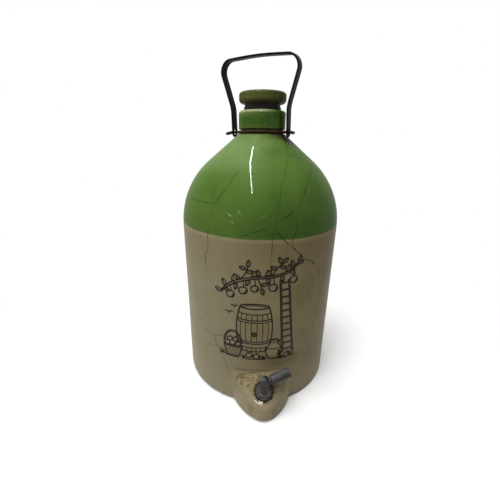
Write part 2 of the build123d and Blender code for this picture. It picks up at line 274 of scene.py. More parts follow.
def green_glaze(g, clouds, runs):
    """Leaf green with a darker collar, and painted light on the lit left: paler low down, hazy and partly
    dusty towards the ledge, and on the upper collar, with a painted reflection along the lip.
    """
    green = g.blend(clouds, srgb(55, 83, 21), srgb(68, 97, 31))
    green = g.tint(green, srgb(77, 99, 43), runs, 0.35)
    green = g.tint(green, srgb(47, 75, 16), g.fade(g.z, 246, 198), 0.6)
    # Painted light: the green is paler low down on the lit left side.
    green = g.tint(green, srgb(86, 110, 44), g.fade(g.z, 236, 204), g.fade(g.x, 8, -40), 0.35)
    collar = g.blend(g.fade(g.noise(6, 3), 0.35, 0.65), srgb(45, 74, 14), srgb(56, 86, 22))
    collar = g.tint(collar, srgb(84, 88, 36), g.fade(g.z, LEDGE + 9.5, LEDGE + 5.5), 0.45)
    green = g.blend(g.fade(g.z, LEDGE - 2, LEDGE + 6), green, collar)
    under_ledge = g.fade(g.z, LEDGE + 1, LEDGE - 2)
    # Dust under the ledge, and painted light, because it lies only on the lit left.
    dust_and_painted_light = g.times(g.fade(g.z, LEDGE - 26, LEDGE - 4), under_ledge, g.fade(g.x, 24, -4), 0.26)
    green = g.tint(green, srgb(126, 132, 88), dust_and_painted_light, g.fade(g.noise(12, 3), 0.3, 0.6))
    # Painted light: the green is hazy and pale high up on the lit left.
    painted_light_upper_left = g.times(g.fade(g.z, 238, 256), g.fade(g.x, 20, -30), under_ledge, 0.32)
    green = g.tint(green, srgb(112, 136, 88), painted_light_upper_left)
    # Painted light on the upper collar on the left, and a painted reflection of the ceiling along the lip.
    green = g.tint(green, srgb(112, 124, 74), g.fade(g.z, RIM - 9, RIM - 1), g.fade(g.x, 10, -16), 0.5)
    return g.tint(green, srgb(150, 158, 118), g.fade(g.z, RIM - 3.4, RIM - 1.2), g.fade(g.x, 15, -2), 0.7)


def cream_glaze(g, clouds, runs, line):
    """Cream, browner towards the shoulder and paler just under the green, with painted light: paler at the
    foot, lit from the floor, and paler on the lit left.
    """
    cream = g.blend(clouds, srgb(116, 103, 70), srgb(126, 115, 83))
    cream = g.tint(cream, srgb(130, 120, 90), runs, 0.4)
    cream = g.tint(cream, srgb(112, 97, 64), g.fade(g.z, 130, 188), 0.6)
    # Painted light from the floor: paler at the foot.
    cream = g.tint(cream, srgb(146, 135, 105), g.fade(g.z, 60, 5))
    # Painted light and sheen: paler and greyer on the lit left side.
    cream = g.tint(cream, srgb(128, 123, 100), g.fade(g.x, 2, -42), 0.5)
    return g.tint(cream, srgb(144, 133, 99), g.fade(line, GLAZE_LINE - 5, GLAZE_LINE - 1), 0.4)


def fine_crazing(g, colour, green_side):
    """Fine crazing, stained brown, fading in and out."""
    cells = g.cell_edges(34, g.shifted(14, 7))
    stain = g.blend(green_side, srgb(84, 70, 44), srgb(40, 58, 20))
    return g.tint(colour, stain, g.fade(cells, 0.32, 0.0), g.fade(g.noise(50, 2), 0.42, 0.62), 0.45)


def neck_shade_and_rust(g, colour, speckle, shaded_groove):
    """Painted shade in the neck groove, and rust below the right-hand end of the wires."""
    colour = g.tint(colour, srgb(38, 27, 14), shaded_groove)
    foot = g.vector("DISTANCE", g.place, STRAP_FOOT)
    rust = g.times(g.fade(g.math("ADD", foot, g.times(speckle, 6.0)), 16.5, 9.5), 0.95)
    under_wire = g.times(g.fade(g.z, LEDGE - 6, LEDGE - 1.5), g.fade(g.z, LEDGE + 1, LEDGE))
    under_wire = g.times(under_wire, g.fade(g.x, 3, 15), g.fade(g.y, 0, -6))
    patchy = g.math("ADD", 0.5, g.times(speckle, 0.5))
    return g.tint(colour, srgb(20, 14, 4), g.math("MAXIMUM", rust, g.times(under_wire, patchy, 0.85)))


def tap_stains_and_shadow(g, colour, ragged, low, ring):
    """Round the tap: a rusty ring in the socket's mouth, a brown stain outside it, and a painted shadow
    under the spout's root.
    """
    colour = g.tint(colour, srgb(104, 84, 50), g.fade(ragged, 17.0, 9.5), low, 0.4)
    # Painted shadow: brown shade under the spout's root.
    spout_root_shadow = g.vector("DISTANCE", g.place, BEHIND_TAP)
    colour = g.tint(colour, srgb(84, 60, 30), g.fade(spout_root_shadow, 9.0, 3.0), 0.6)
    return g.tint(colour, srgb(26, 17, 7), ring)


def boss_dirt(g, colour, from_tap, low):
    """Dirt along the joint of the boss and the wall, heavier to the left of the tap."""
    off_wall = g.math("ABSOLUTE", g.math("SUBTRACT", g.off_axis(), BODY_RADIUS))
    crown = g.math("SQRT", g.math("MAXIMUM", g.math("SUBTRACT", BOSS_CROWN**2, g.times(g.x, g.x)), 0.0))
    drop = g.math("SUBTRACT", crown, BOSS_CROWN)
    above = g.math("SUBTRACT", g.vector("DOT_PRODUCT", from_tap, tuple(TAP_AXIS)), drop)
    off_joint = g.math("ADD", off_wall, g.math("ABSOLUTE", above))
    left = g.fade(g.x, 8.0, -6.0)
    boss_top = g.times(low, g.fade(g.math("ABSOLUTE", g.x), 34.0, 27.0), g.fade(g.y, -70.0, -76.0))
    strength = g.math("ADD", g.times(left, 0.2), 0.2)
    colour = g.tint(colour, srgb(70, 58, 30), g.fade(off_joint, 2.6, 0.4), boss_top, strength)
    smear = g.times(g.fade(off_joint, 22.0, 5.0), g.fade(off_wall, 0.8, 3.0), boss_top, left)
    return g.tint(colour, srgb(92, 70, 34), smear, g.fade(g.noise(3.5, 4, 0.65), 0.44, 0.6), 0.8)


def boss_marks(g, colour):
    """A brown run on the left of the boss's front, scratches on its right, and a shadow over the spout.

    Each place is counted in the stretched scale that makes its mark longer than it is wide.
    """
    grain = g.fade(g.noise(1.6, 4, 0.7), 0.4, 0.6)
    run = g.vector("DISTANCE", g.stretched(1.0, 1.0, 0.5), (-13.5, -104.8, 7.0))
    colour = g.tint(colour, srgb(88, 62, 26), g.fade(run, 5.5, 1.5), grain, 0.55)
    scratch = g.vector("DISTANCE", g.stretched(1.0, 1.0, 0.6), (10.8, -106.8, 7.0))
    colour = g.tint(colour, srgb(64, 56, 34), g.fade(scratch, 4.5, 1.5), grain, 0.5)
    over_spout = g.vector("DISTANCE", g.stretched(0.55, 1.0, 1.0), (10.5, -86.0, 56.0))
    return g.tint(colour, srgb(84, 68, 40), g.fade(over_spout, 13.0, 5.0), 0.35)


def two_tone_glaze():
    """Green over cream, with cloudy colour, faint crazing, dirt where a wet jar gathers it, and painted
    light and shade: paler on the lit side, shade in the neck groove and shadows by the spout.
    """
    g = Graph("two_tone_glaze")
    line = g.ragged(g.z, g.noise(30), 2.0)
    green_side = above_glaze_line(g, line)
    clouds = g.fade(g.noise(38, 3), 0.35, 0.65)
    runs = g.fade(g.noise(9, 3, vector=g.stretched(1.0, 1.0, 0.25)), 0.3, 0.7)
    colour = g.blend(green_side, cream_glaze(g, clouds, runs, line), green_glaze(g, clouds, runs))
    colour = fine_crazing(g, colour, green_side)

    speckle = g.fade(g.noise(2.5, 4, 0.6), 0.35, 0.6)
    # Painted shade in the groove under the wires.
    shaded_groove = g.times(g.fade(g.z, LEDGE - 1.5, LEDGE + 0.5), g.fade(g.z, LEDGE + 6, LEDGE + 3.5))
    colour = neck_shade_and_rust(g, colour, speckle, shaded_groove)

    from_tap = g.vector("SUBTRACT", g.place, tuple(TAP_CENTRE))
    beside = g.vector("LENGTH", g.vector("CROSS_PRODUCT", from_tap, tuple(TAP_AXIS)))
    ragged = g.ragged(beside, speckle, 1.6)
    low = g.fade(g.z, 62, 50)
    ring = g.times(g.fade(ragged, 11.2, 9.9), low, 0.9)
    colour = tap_stains_and_shadow(g, colour, ragged, low, ring)
    colour = boss_dirt(g, colour, from_tap, low)
    colour = boss_marks(g, colour)
    for pit in PITS:
        colour = g.tint(colour, srgb(24, 32, 12), g.fade(g.vector("DISTANCE", g.place, pit), 1.1, 0.5))

    # The foot is bare, darker clay.
    bare = g.fade(g.z, 1.2, 0.3)
    colour = g.tint(colour, g.blend(speckle, srgb(120, 96, 66), srgb(92, 72, 50)), bare)
    matt = g.math("MAXIMUM", bare, g.math("MAXIMUM", ring, shaded_groove))
    wavy = g.bump(g.noise(4, 2), 0.012, normal=g.bump(g.noise(22, 2), 0.12))
    return g.finish(
        colour,
        g.blend(matt, grey(0.42), grey(0.85)),
        wavy,
        Specular_IOR_Level=0.03,
        Coat_IOR=2.2,
        Coat_Weight=0.05,
        Coat_Roughness=0.03,
        Coat_Normal=wavy,
    )


def stopper_glaze():
    """Olive glaze in faint upright streaks, pale on the top edge from wear and a painted highlight, browned
    below, on a bare thread.
    """
    g = Graph("olive_glaze")
    streaks = g.fade(g.noise(2.2, 3, 0.6, vector=g.stretched(1.0, 1.0, 0.08)), 0.3, 0.7)
    clouds = g.fade(g.noise(14, 3), 0.35, 0.65)
    colour = g.blend(clouds, srgb(60, 65, 25), srgb(72, 77, 33))
    colour = g.tint(colour, srgb(86, 88, 46), streaks, 0.45)
    colour = g.tint(colour, srgb(40, 40, 18), g.fade(g.noise(1.3, 4, 0.65), 0.62, 0.72), 0.6)
    above = g.ragged(g.z, g.noise(3.0, 3), 1.6)
    outer = g.fade(g.off_axis(), 17.5, 21.0)
    # Wear and a painted highlight from above: the top edge is paler.
    colour = g.tint(colour, srgb(76, 80, 56), g.fade(above, HEAD + 7.6, HEAD + 9.6), outer, 0.5)
    colour = g.tint(colour, srgb(62, 48, 26), g.fade(above, HEAD + 3.2, HEAD + 1.0), 0.65)
    bare = g.blend(g.noise(4, 3), srgb(96, 84, 62), srgb(70, 58, 40))
    colour = g.tint(colour, bare, g.fade(g.z, RIM + 1.0, RIM - 1.0))
    wavy = g.bump(g.noise(5, 2), 0.06)
    return g.finish(
        colour, 0.5, wavy, Specular_IOR_Level=0.04, Coat_Weight=0.06, Coat_Roughness=0.18, Coat_Normal=wavy
    )


def rubber():
    """Black rubber, dusty in its pores and pressed into faint rings."""
    g = Graph("old_rubber")
    pores = g.noise(0.7, 4, 0.65)
    dust = g.times(g.fade(g.noise(6, 3), 0.45, 0.7), g.fade(pores, 0.4, 0.7))
    colour = g.tint(g.blend(pores, srgb(13, 12, 12), srgb(24, 22, 21)), srgb(58, 53, 44), dust, 0.5)
    rings = g.noise(0.8, 1, vector=g.stretched(0.05, 0.05, 1.0))
    return g.finish(colour, 0.62, g.bump(pores, 0.04, normal=g.bump(rings, 0.1)), Specular_IOR_Level=0.2)


def rusty_wire():
    """Iron wire, gone brown, with brighter rust in patches and pitting all over."""
    g = Graph("rusty_wire")
    patches = g.fade(g.noise(5, 4, 0.65), 0.42, 0.68)
    grain = g.noise(0.7, 4, 0.7)
    colour = g.blend(grain, srgb(22, 17, 12), srgb(48, 39, 28))
    colour = g.tint(colour, g.blend(grain, srgb(40, 24, 13), srgb(70, 45, 25)), patches, 0.7)
    return g.finish(colour, 0.62, g.bump(grain, 0.12), Metallic=0.25, Specular_IOR_Level=0.15)


def black_strap():
    """Black japan on steel strip: fine lengthwise scratches, with brown where it has worn through."""
    g = Graph("black_strap")
    scratches = g.noise(0.5, 3, 0.6, vector=g.stretched(1.0, 1.0, 0.06))
    worn = g.fade(g.noise(7, 4, 0.7), 0.54, 0.7)
    colour = g.blend(g.fade(scratches, 0.4, 0.75), srgb(13, 12, 11), srgb(30, 28, 24))
    rust = g.blend(g.noise(0.9, 3), srgb(46, 30, 17), srgb(70, 50, 30))
    colour = g.tint(colour, rust, worn, g.fade(g.noise(1.6, 4, 0.7), 0.45, 0.6), 0.8)
    uneven = g.bump(scratches, 0.04, normal=g.bump(g.noise(3, 3), 0.08))
    return g.finish(colour, g.blend(worn, grey(0.45), grey(0.7)), uneven, Specular_IOR_Level=0.03)


def tarnished_tap():
    """Dull grey cast metal, darkened by age, with brown deposits down by the socket, painted shade on its
    downward faces and a painted highlight on its upper left.
    """
    g = Graph("tarnished_tap")
    cast = g.noise(0.9, 4, 0.65)
    tarnish = g.fade(g.noise(5, 4, 0.6), 0.38, 0.66)
    colour = g.blend(cast, srgb(14, 14, 13), srgb(32, 33, 31))
    colour = g.tint(colour, g.blend(cast, srgb(30, 27, 22), srgb(50, 45, 36)), tarnish, 0.75)
    from_tap = g.vector("SUBTRACT", g.place, tuple(TAP_CENTRE))
    height = g.ragged(g.vector("DOT_PRODUCT", from_tap, tuple(TAP_AXIS)), g.noise(2, 4), 3.0)
    deposit = g.blend(cast, srgb(24, 19, 11), srgb(50, 39, 23))
    colour = g.tint(colour, deposit, g.fade(height, 6.5, 2.0), 0.85)

    # Painted shade on the faces that look down, and a painted highlight on those that look up and to the
    # left.
    faces = g.add("ShaderNodeSeparateXYZ", {0: g.add("ShaderNodeTexCoord").outputs["Normal"]}).outputs
    colour = g.tint(colour, srgb(14, 13, 11), g.fade(faces[2], 0.15, -0.5), 0.8)
    up_left = g.math("SUBTRACT", g.times(faces[2], 0.6), g.times(faces[0], 0.6))
    painted_highlight = g.times(g.fade(up_left, 0.5, 0.8), g.fade(cast, 0.3, 0.6))
    colour = g.tint(colour, srgb(120, 120, 126), painted_highlight, 0.5)
    rough = g.blend(tarnish, grey(0.36), grey(0.6))
    return g.finish(colour, rough, g.bump(cast, 0.12), Metallic=0.15, Specular_IOR_Level=0.25)


def cork():
    """Dark wet cork, with pores between its grains."""
    g = Graph("wet_cork")
    cells = g.cell_edges(0.9, g.shifted(1.0, 0.4))
    pores = g.fade(g.noise(1.6, 3, 0.6), 0.56, 0.68)
    colour = g.blend(g.noise(2.5, 3), srgb(26, 17, 9), srgb(58, 40, 22))
    colour = g.blend(g.math("MAXIMUM", g.fade(cells, 0.1, 0.0), pores), colour, srgb(26, 17, 10))
    return g.finish(colour, 0.8, g.bump(pores, 0.15), Specular_IOR_Level=0.15)


def leather():
    """Brown oiled leather with a fine grain."""
    g = Graph("oiled_leather")
    grain = g.cell_edges(0.5, g.shifted(0.8, 0.3))
    colour = g.blend(g.noise(1.5, 3), srgb(34, 23, 14), srgb(60, 42, 26))
    colour = g.tint(colour, srgb(18, 12, 8), g.fade(grain, 0.06, 0.0))
    return g.finish(colour, 0.6, g.bump(grain, 0.1), Specular_IOR_Level=0.2)


def dull_brass():
    """Drawn spring brass, browned in places."""
    g = Graph("dull_brass")
    drawn = g.noise(0.4, 3, vector=g.stretched(1.0, 0.2, 0.2))
    colour = g.blend(drawn, srgb(92, 72, 34), srgb(136, 110, 58))
    colour = g.blend(g.fade(g.noise(2, 4), 0.5, 0.65), colour, srgb(58, 48, 26))
    return g.finish(colour, 0.42, g.bump(drawn, 0.02), Metallic=0.8)


def give(node, material):
    """Puts a finish on every material slot of a CAD node."""
    for slot in nodes[node].material_slots:
        slot.material = material


# ---------------------------------------------------------------- lines on the glaze
def on_jar(azimuth, height, lift):
    """A place just outside the turned jar, in mm. azimuth is counted from the tap side to the right."""
    over = height - STRAIGHT_HEIGHT
    top = BODY_RADIUS * sin(SHOULDER_ANGLE)
    if over <= 0:
        radius, slope = BODY_RADIUS, 0.0
    elif over < top:
        radius = sqrt(BODY_RADIUS**2 - over**2)
        slope = over / BODY_RADIUS
    else:
        slope = sin(SHOULDER_ANGLE)
        radius = BODY_RADIUS * cos(SHOULDER_ANGLE) - (over - top) * slope / cos(SHOULDER_ANGLE)
    level = sqrt(1 - slope**2)
    normal = Vector((sin(azimuth) * level, -cos(azimuth) * level, slope))
    return Vector((sin(azimuth) * radius, -cos(azimuth) * radius, height)) + normal * lift, normal


def on_boss(x, y):
    """A place on the boss's crowned top, in mm from the middle of the tap: right, and up the slope."""
    rise = sqrt(BOSS_CROWN**2 - x**2)
    normal = (Vector((x, 0, 0)) + TAP_AXIS * rise) / BOSS_CROWN
    place = TAP_CENTRE + Vector((x, 0, 0)) + UP_THE_SLOPE * y + TAP_AXIS * (rise - BOSS_CROWN)
    return place + normal * CRACK_LIFT, normal


def smooth(points, steps=8):
    """A curve through the points."""
    last = len(points) - 1
    curve = []
    for i in range(last):
        a, b, c, d = (Vector(points[min(max(i + k, 0), last)]) for k in (-1, 0, 1, 2))
        bend, twist = 2 * a - 5 * b + 4 * c - d, 3 * b - a - 3 * c + d
        for k in range(steps):
            t = k / steps
            curve.append(0.5 * (2 * b + (c - a) * t + bend * t**2 + twist * t**3))
    curve.append(Vector(points[last]))
    return curve


def arc(x, y, wide, tall, start=0, end=360, steps=16):
    """Part of an ellipse, from start to end in degrees."""
    turns = [radians(start + (end - start) * i / steps) for i in range(steps + 1)]
    return [Vector((x + wide * cos(t), y + tall * sin(t))) for t in turns]


def turned(x, y, degrees, points):
    """The points, turned about their origin and moved to x, y."""
    turn = radians(degrees)
    return [(x + px * cos(turn) - py * sin(turn), y + px * sin(turn) + py * cos(turn)) for px, py in points]


def placed(x, y, size, points):
    """The points, scaled by size and moved to x, y."""
    return [(x + size * px, y + size * py) for px, py in points]


class Lines:
    """Thin flat strokes lying on the jar, gathered in one mesh."""

    slot = "glaze"

    def __init__(self, name, material):
        self.name, self.material = name, material
        self.verts, self.faces = [], []

    def stroke(self, path, width, place):
        """One stroke along path, whose points go through place.

        width is one number, or one for each point.
        """
        fine = [Vector(path[0])]
        widths = list(width) if hasattr(width, "__iter__") else [width] * len(path)
        fine_widths = [widths[0]]
        for (start, end), (wide, next_wide) in zip(zip(path, path[1:]), zip(widths, widths[1:])):
            start, end = Vector(start), Vector(end)
            apart = (place(*end)[0] - place(*start)[0]).length
            count = max(1, int(apart / LONGEST_STEP + 1))
            for k in range(1, count + 1):
                fine.append(start.lerp(end, k / count))
                fine_widths.append(wide + (next_wide - wide) * k / count)
        spots = [place(*point) for point in fine]
        base = len(self.verts)
        for i, (spot, normal) in enumerate(spots):
            along = spots[min(i + 1, len(spots) - 1)][0] - spots[max(i - 1, 0)][0]
            if along.length < 1e-9:
                along = Vector((0, 0, 1))
            side = normal.cross(along).normalized() * fine_widths[i] / 2
            self.verts += [(spot - side) * MM, (spot + side) * MM]
        for i in range(len(spots) - 1):
            k = base + 2 * i
            self.faces.append((k, k + 2, k + 3, k + 1))

    def crack(self, points, width, place, offset, to_mm=1.0):
        """A wandering crack along the points, thinning out at its ends.

        offset is its place in the noise, and to_mm is how many millimetres one step of the first
        coordinate counts for.
        """
        path, widths = [], []
        for start, end in zip(points, points[1:]):
            start, end = Vector(start), Vector(end)
            count = max(2, int((place(*end)[0] - place(*start)[0]).length / CRACK_STEP))
            path += [start.lerp(end, k / count) for k in range(count)]
        path.append(Vector(points[-1]))
        for i, point in enumerate(path):
            spot = place(*point)[0]
            wander = noise.noise_vector(spot / WANDER_SIZE + Vector((offset, 0, 0)))
            path[i] = point + Vector((wander.x / to_mm, wander.z)) * WANDER
            ends = min(1.0, 0.4 + 0.12 * min(i, len(path) - 1 - i))
            widths.append(width * ends * (1.0 + 0.7 * noise.noise(spot / 3.0 + Vector((0, offset, 9)))))
        self.stroke(path, widths, place)

    def finish(self):
        """Makes the mesh, which rides on the jar."""
        mesh = bpy.data.meshes.new(self.name)
        mesh.from_pydata(self.verts, [], self.faces)
        mesh.materials.append(self.material)
        piece = bpy.data.objects.new(self.name, mesh)
        bpy.context.scene.collection.objects.link(piece)
        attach(piece, "jar")
        return piece


def under_gloss(g, colour):
    """A colour that lies under the gloss of the glaze."""
    return g.finish(colour, 0.42, Specular_IOR_Level=0.05, Coat_Weight=0.15, Coat_Roughness=0.04)


def line_glaze(name, on_green, on_cream):
    """Colour of a stained line under the glaze, darker and lighter along its length."""
    g = Graph(name)
    green_side = above_glaze_line(g, g.z)
    strong = g.fade(g.noise(7, 3), 0.3, 0.7)
    first = g.blend(green_side, on_cream, on_green)
    paler = g.blend(green_side, srgb(104, 90, 62), srgb(58, 84, 30))
    return under_gloss(g, g.blend(strong, paler, first))


CRACKS = (  # width in mm, then azimuth in degrees and height in mm
    (0.9, ((-63, 216.7), (-50, 216.9), (-40, 217.1), (-35.3, 217.9), (-33.4, 222.7), (-30.9, 229.1))),
    (0.5, ((-30.9, 229.1), (-28, 234.1), (-26.5, 240.2), (-22, 248))),
    (0.5, ((-35.3, 217.9), (-36.5, 213.8), (-37.1, 206))),
    (0.6, ((50, 270), (36, 266.3), (25.3, 257.1), (15.7, 246.4), (10.4, 236.9), (7.6, 223.6), (6, 212.8))),
    (0.6, ((6, 212.8), (3.2, 203.3), (3, 194.3), (2.5, 174.8), (2.0, 160))),
    (0.7, ((25.3, 257.1), (34, 257.9), (46.1, 255.4), (64.2, 253.4), (80, 250))),
    (0.8, ((64.2, 253.4), (45.5, 245.8), (30.6, 233.4), (25.2, 225.2), (20.8, 217.8))),
    (1.2, ((20.8, 217.8), (14.9, 212.3), (10.5, 208.6), (6.8, 207.1), (4.6, 208.4))),
    (1.0, ((6.8, 207.1), (3.9, 204.1), (5.8, 196), (10.4, 188.2), (14.6, 182.7))),
    (1.0, ((14.6, 182.7), (21, 173.5), (26.1, 167.4), (30.7, 164.4), (36.3, 157.8))),
    (0.5, ((36.3, 157.8), (39.9, 150.7), (42.8, 132.7), (43.5, 108))),
    (0.8, ((18.3, 209.3), (17.6, 199.5), (16.8, 193.2), (14.8, 187.7), (14.6, 182.7))),
    (0.6, ((3.2, 203.3), (-1.1, 199.2), (-8.4, 195.9), (-16.5, 191.4))),
    (0.5, ((5.8, 196), (2.0, 192.5), (-1.5, 195.5), (-1.1, 199.2))),
    (0.6, ((-38.4, 196), (-39.3, 183.4), (-38.6, 177.3), (-41.8, 167.4), (-41.5, 150))),
    (0.5, ((-80, 96), (-72.2, 77.6), (-58, 86), (-46, 91.6))),
    (0.6, ((-47.7, 80.3), (-40.9, 80), (-36, 77.9), (-34.4, 68.2), (-30, 60), (-27.2, 49.2), (-24.1, 36))),
    (0.5, ((-36, 77.9), (-31, 82), (-27.1, 84.3))),
    (0.5, ((-47.6, 60), (-41, 64), (-34.3, 67.5))),
    (0.5, ((41, 104), (39.5, 90.5), (38.1, 81.9), (32.1, 73.8), (27.4, 66))),
    # Sides and back, of the same kind.
    (0.7, ((96, 262), (108, 246), (104, 231), (121, 214), (118, 196), (131, 184), (140, 168))),
    (0.6, ((121, 214), (136, 219), (152, 210), (160, 214))),
    (0.6, ((150, 268), (158, 251), (171, 240), (169, 222), (182, 206), (180, 187), (190, 160), (186, 131))),
    (0.5, ((190, 160), (204, 152), (213, 138), (226, 131))),
    (0.7, ((231, 264), (222, 248), (229, 232), (219, 216), (227, 203), (246, 196), (252, 181), (249, 160))),
    (0.5, ((98, 120), (110, 113), (122, 117), (128, 101), (141, 92))),
    (0.5, ((233, 100), (246, 92), (251, 77), (266, 70), (271, 52))),
)
BOSS_CRACKS = (  # width, then mm right of the tap's middle and up the slope
    (
        0.8,
        (
            (-27, 14.5), (-25.4, 15.6), (-23.2, 16.8), (-20, 17.6),
            (-15.2, 17.9), (-10.9, 17.7), (-6.7, 16.8), (-3.5, 15.4),
        ),
    ),
    (0.7, ((-27, 14.5), (-21.7, 13.6), (-17.4, 13.5), (-14.2, 12.4), (-11.6, 13), (-8.9, 13.2))),
    (2.2, ((-27.8, 14.8), (-26.8, 14.5), (-26, 14.1))),
    (1.8, ((-12.6, 13.1), (-11.6, 13), (-10.7, 13.1))),
    (1.6, ((-12.2, 10.8), (-11.7, 10.2), (-11.2, 9.9))),
    (
        0.6,
        (
            (-11.6, 13), (-12.4, 11.4), (-11.7, 10.2), (-10.3, 8.2),
            (-13.3, 7.3), (-16, 6), (-17.1, 4.6), (-15.6, 3.1),
        ),
    ),
    (0.5, ((-23.3, 13.4), (-23.8, 10), (-22.8, 9.1))),
    (1.0, ((13.4, -1.3), (13.8, -1.2), (14.2, -1.3))),
    (0.4, ((17, 4), (19, 1), (18, -2))),
)


def add_cracks():
    """The longer cracks of the glaze, all round the jar and on top of the boss."""
    lines = Lines("crazing_lines", line_glaze("stained_crack", srgb(30, 42, 13), srgb(60, 46, 24)))

    def place(azimuth, height):
        return on_jar(radians(azimuth), height, CRACK_LIFT)

    noise.seed_set(WANDER_SEED)
    mm_a_degree = BODY_RADIUS * pi / 180
    for number, (width, points) in enumerate(CRACKS):
        lines.crack(points, CRACK_WEIGHT * width, place, NOISE_STEP * number, mm_a_degree)
    for number, (width, points) in enumerate(BOSS_CRACKS):
        lines.crack(points, width, on_boss, BOSS_NOISE + NOISE_STEP * number)
    lines.finish()


# ---------------------------------------------------------------- the printed drawing
class Drawing:
    """A line drawing in mm, right and up from the foot of its middle line."""

    def __init__(self):
        self.strokes, self.shields = [], []

    def shield(self, points):
        """What is drawn later doesn't show inside this outline."""
        self.shields.append([Vector(p) for p in points])

    def hidden(self, spot):
        """Whether the spot is inside a shield, by counting the edges to its right."""
        for outline in self.shields:
            inside = False
            for a, b in zip(outline, outline[1:] + outline[:1]):
                level = (a.y > spot.y) != (b.y > spot.y)
                if level and spot.x < a.x + (b.x - a.x) * (spot.y - a.y) / (b.y - a.y):
                    inside = not inside
            if inside:
                return True
        return False

    def line(self, points, width):
        """A line through the points, left out where a shield hides it."""
        run = []
        for start, end in zip(points, points[1:]):
            start, end = Vector(start), Vector(end)
            count = max(1, round((end - start).length / 0.6))
            for i in range(count):
                a, b = start.lerp(end, i / count), start.lerp(end, (i + 1) / count)
                if self.hidden((a + b) / 2):
                    if run:
                        self.strokes.append((width, run))
                    run = []
                else:
                    run = (run or [tuple(a)]) + [tuple(b)]
        if run:
            self.strokes.append((width, run))

    def curve(self, points, width):
        """A smooth line through the points."""
        self.line(smooth(points), width)

    def leaf(self, x, y, degrees, size):
        """A leaf with its midrib, from its stalk at x, y."""
        edge = [(0, 0), (0.3, 0.24), (0.68, 0.2), (1, 0), (0.68, -0.22), (0.3, -0.22), (0, 0)]
        edge = smooth(turned(x, y, degrees, placed(0, 0, size, edge)), steps=5)
        self.line(edge, 0.75)
        self.curve(turned(x, y, degrees, placed(0, 0, size, [(0, 0), (0.5, 0.03), (0.85, 0)])), 0.5)
        self.shield(edge)

    def apple(self, x, y, size):
        """An apple about x, y, with its dips, a highlight and a stalk."""
        edge = []
        for i in range(24):
            t = 2 * pi * i / 24
            dip = 0.16 * exp(-(((t - pi / 2) / 0.35) ** 2)) + 0.07 * exp(-(((t - 1.5 * pi) / 0.3) ** 2))
            edge.append((x + size * cos(t), y + size * 0.95 * (1 - dip) * sin(t)))
        self.line(edge + edge[:1], 0.85)
        self.line(arc(x, y, 0.68 * size, 0.66 * size, -65, 15, 6), 0.6)
        self.curve(placed(x, y, size, [(0, 0.78), (0.05, 1.05), (0.25, 1.35)]), 0.7)
        self.shield(edge)

    def barrel(self, x, y, tall, end, belly):
        """An upright barrel on x, y. end and belly are half its width there."""
        def half(t):
            return end + (belly - end) * (1 - (2 * t - 1) ** 2)

        bung = arc(x, y + 0.36 * tall, 2.2, 2.4)
        self.line(bung, 0.9)
        self.line(arc(x, y + 0.36 * tall, 1.1, 1.2, steps=8), 0.6)
        self.shield(bung)
        levels = [i / 12 for i in range(13)]
        right, left = ([(x + side * half(t), y + t * tall) for t in levels] for side in (1, -1))
        rim = arc(x, y + tall, end, 0.2 * end)
        self.line(left, 0.9)
        self.line(right, 0.9)
        self.line(rim, 0.9)
        self.line(arc(x, y + tall - 0.7, 0.82 * end, 0.14 * end), 0.6)
        hoops = ((0.0, 0.9), (0.1, 0.7), (0.2, 0.9), (0.25, 0.7), (0.7, 0.7), (0.75, 0.9), (0.88, 0.7))
        for t, width in hoops:
            self.line(arc(x, y + t * tall, half(t), 0.2 * half(t), 180, 360), width)
        for across in (-0.78, -0.48, -0.16, 0.16, 0.48, 0.78):
            drop = 0.2 * sqrt(1 - across**2)
            for low, high in ((0.0, 0.1), (0.25, 0.7), (0.75, 0.88)):
                steps = [low + (high - low) * i / 5 for i in range(6)]
                self.line([(x + across * half(t), y + t * tall - drop * half(t)) for t in steps], 0.5)
        back, front = arc(x, y + tall, end, 0.2 * end, 0, 180), arc(x, y, end, 0.2 * end, 180, 360)
        self.shield(right + back + left[::-1] + front)

    def basket(self, x, y, wide, tall):
        """A woven basket, standing on x, y."""
        top, foot = wide / 2, 0.36 * wide
        for side in (-1, 1):
            self.line([(x + side * top, y + tall), (x + side * foot, y)], 0.9)
        self.line(arc(x, y, foot, 0.16 * foot, 180, 360), 0.9)
        self.line(arc(x, y + tall, top, 0.2 * top, 180, 360), 0.9)
        rim = arc(x, y + tall + 1.3, top + 0.5, 0.2 * top, 180, 360)
        self.line(rim, 0.7)
        for row in range(1, 5):
            level = row / 5
            half = foot + (top - foot) * level
            for i in range(8):
                a = -1 + 2 * (i + 0.5 * (row % 2)) / 8
                b = min(0.97, a + 0.17)
                weave = [(x + half * t, y + tall * level - 0.18 * half * sqrt(1 - t * t)) for t in (a, b)]
                self.line(weave, 0.6)
        self.shield(rim + [(x + foot, y), *arc(x, y, foot, 0.16 * foot, 360, 180), (x - foot, y)])

    def handle_of_basket(self, x, y, wide, tall):
        """A double hoop that rises from both sides of x, y."""
        self.line(arc(x, y, wide, tall, 8, 172), 0.9)
        self.line(arc(x, y, wide - 1.3, tall - 1.5, 8, 172), 0.6)

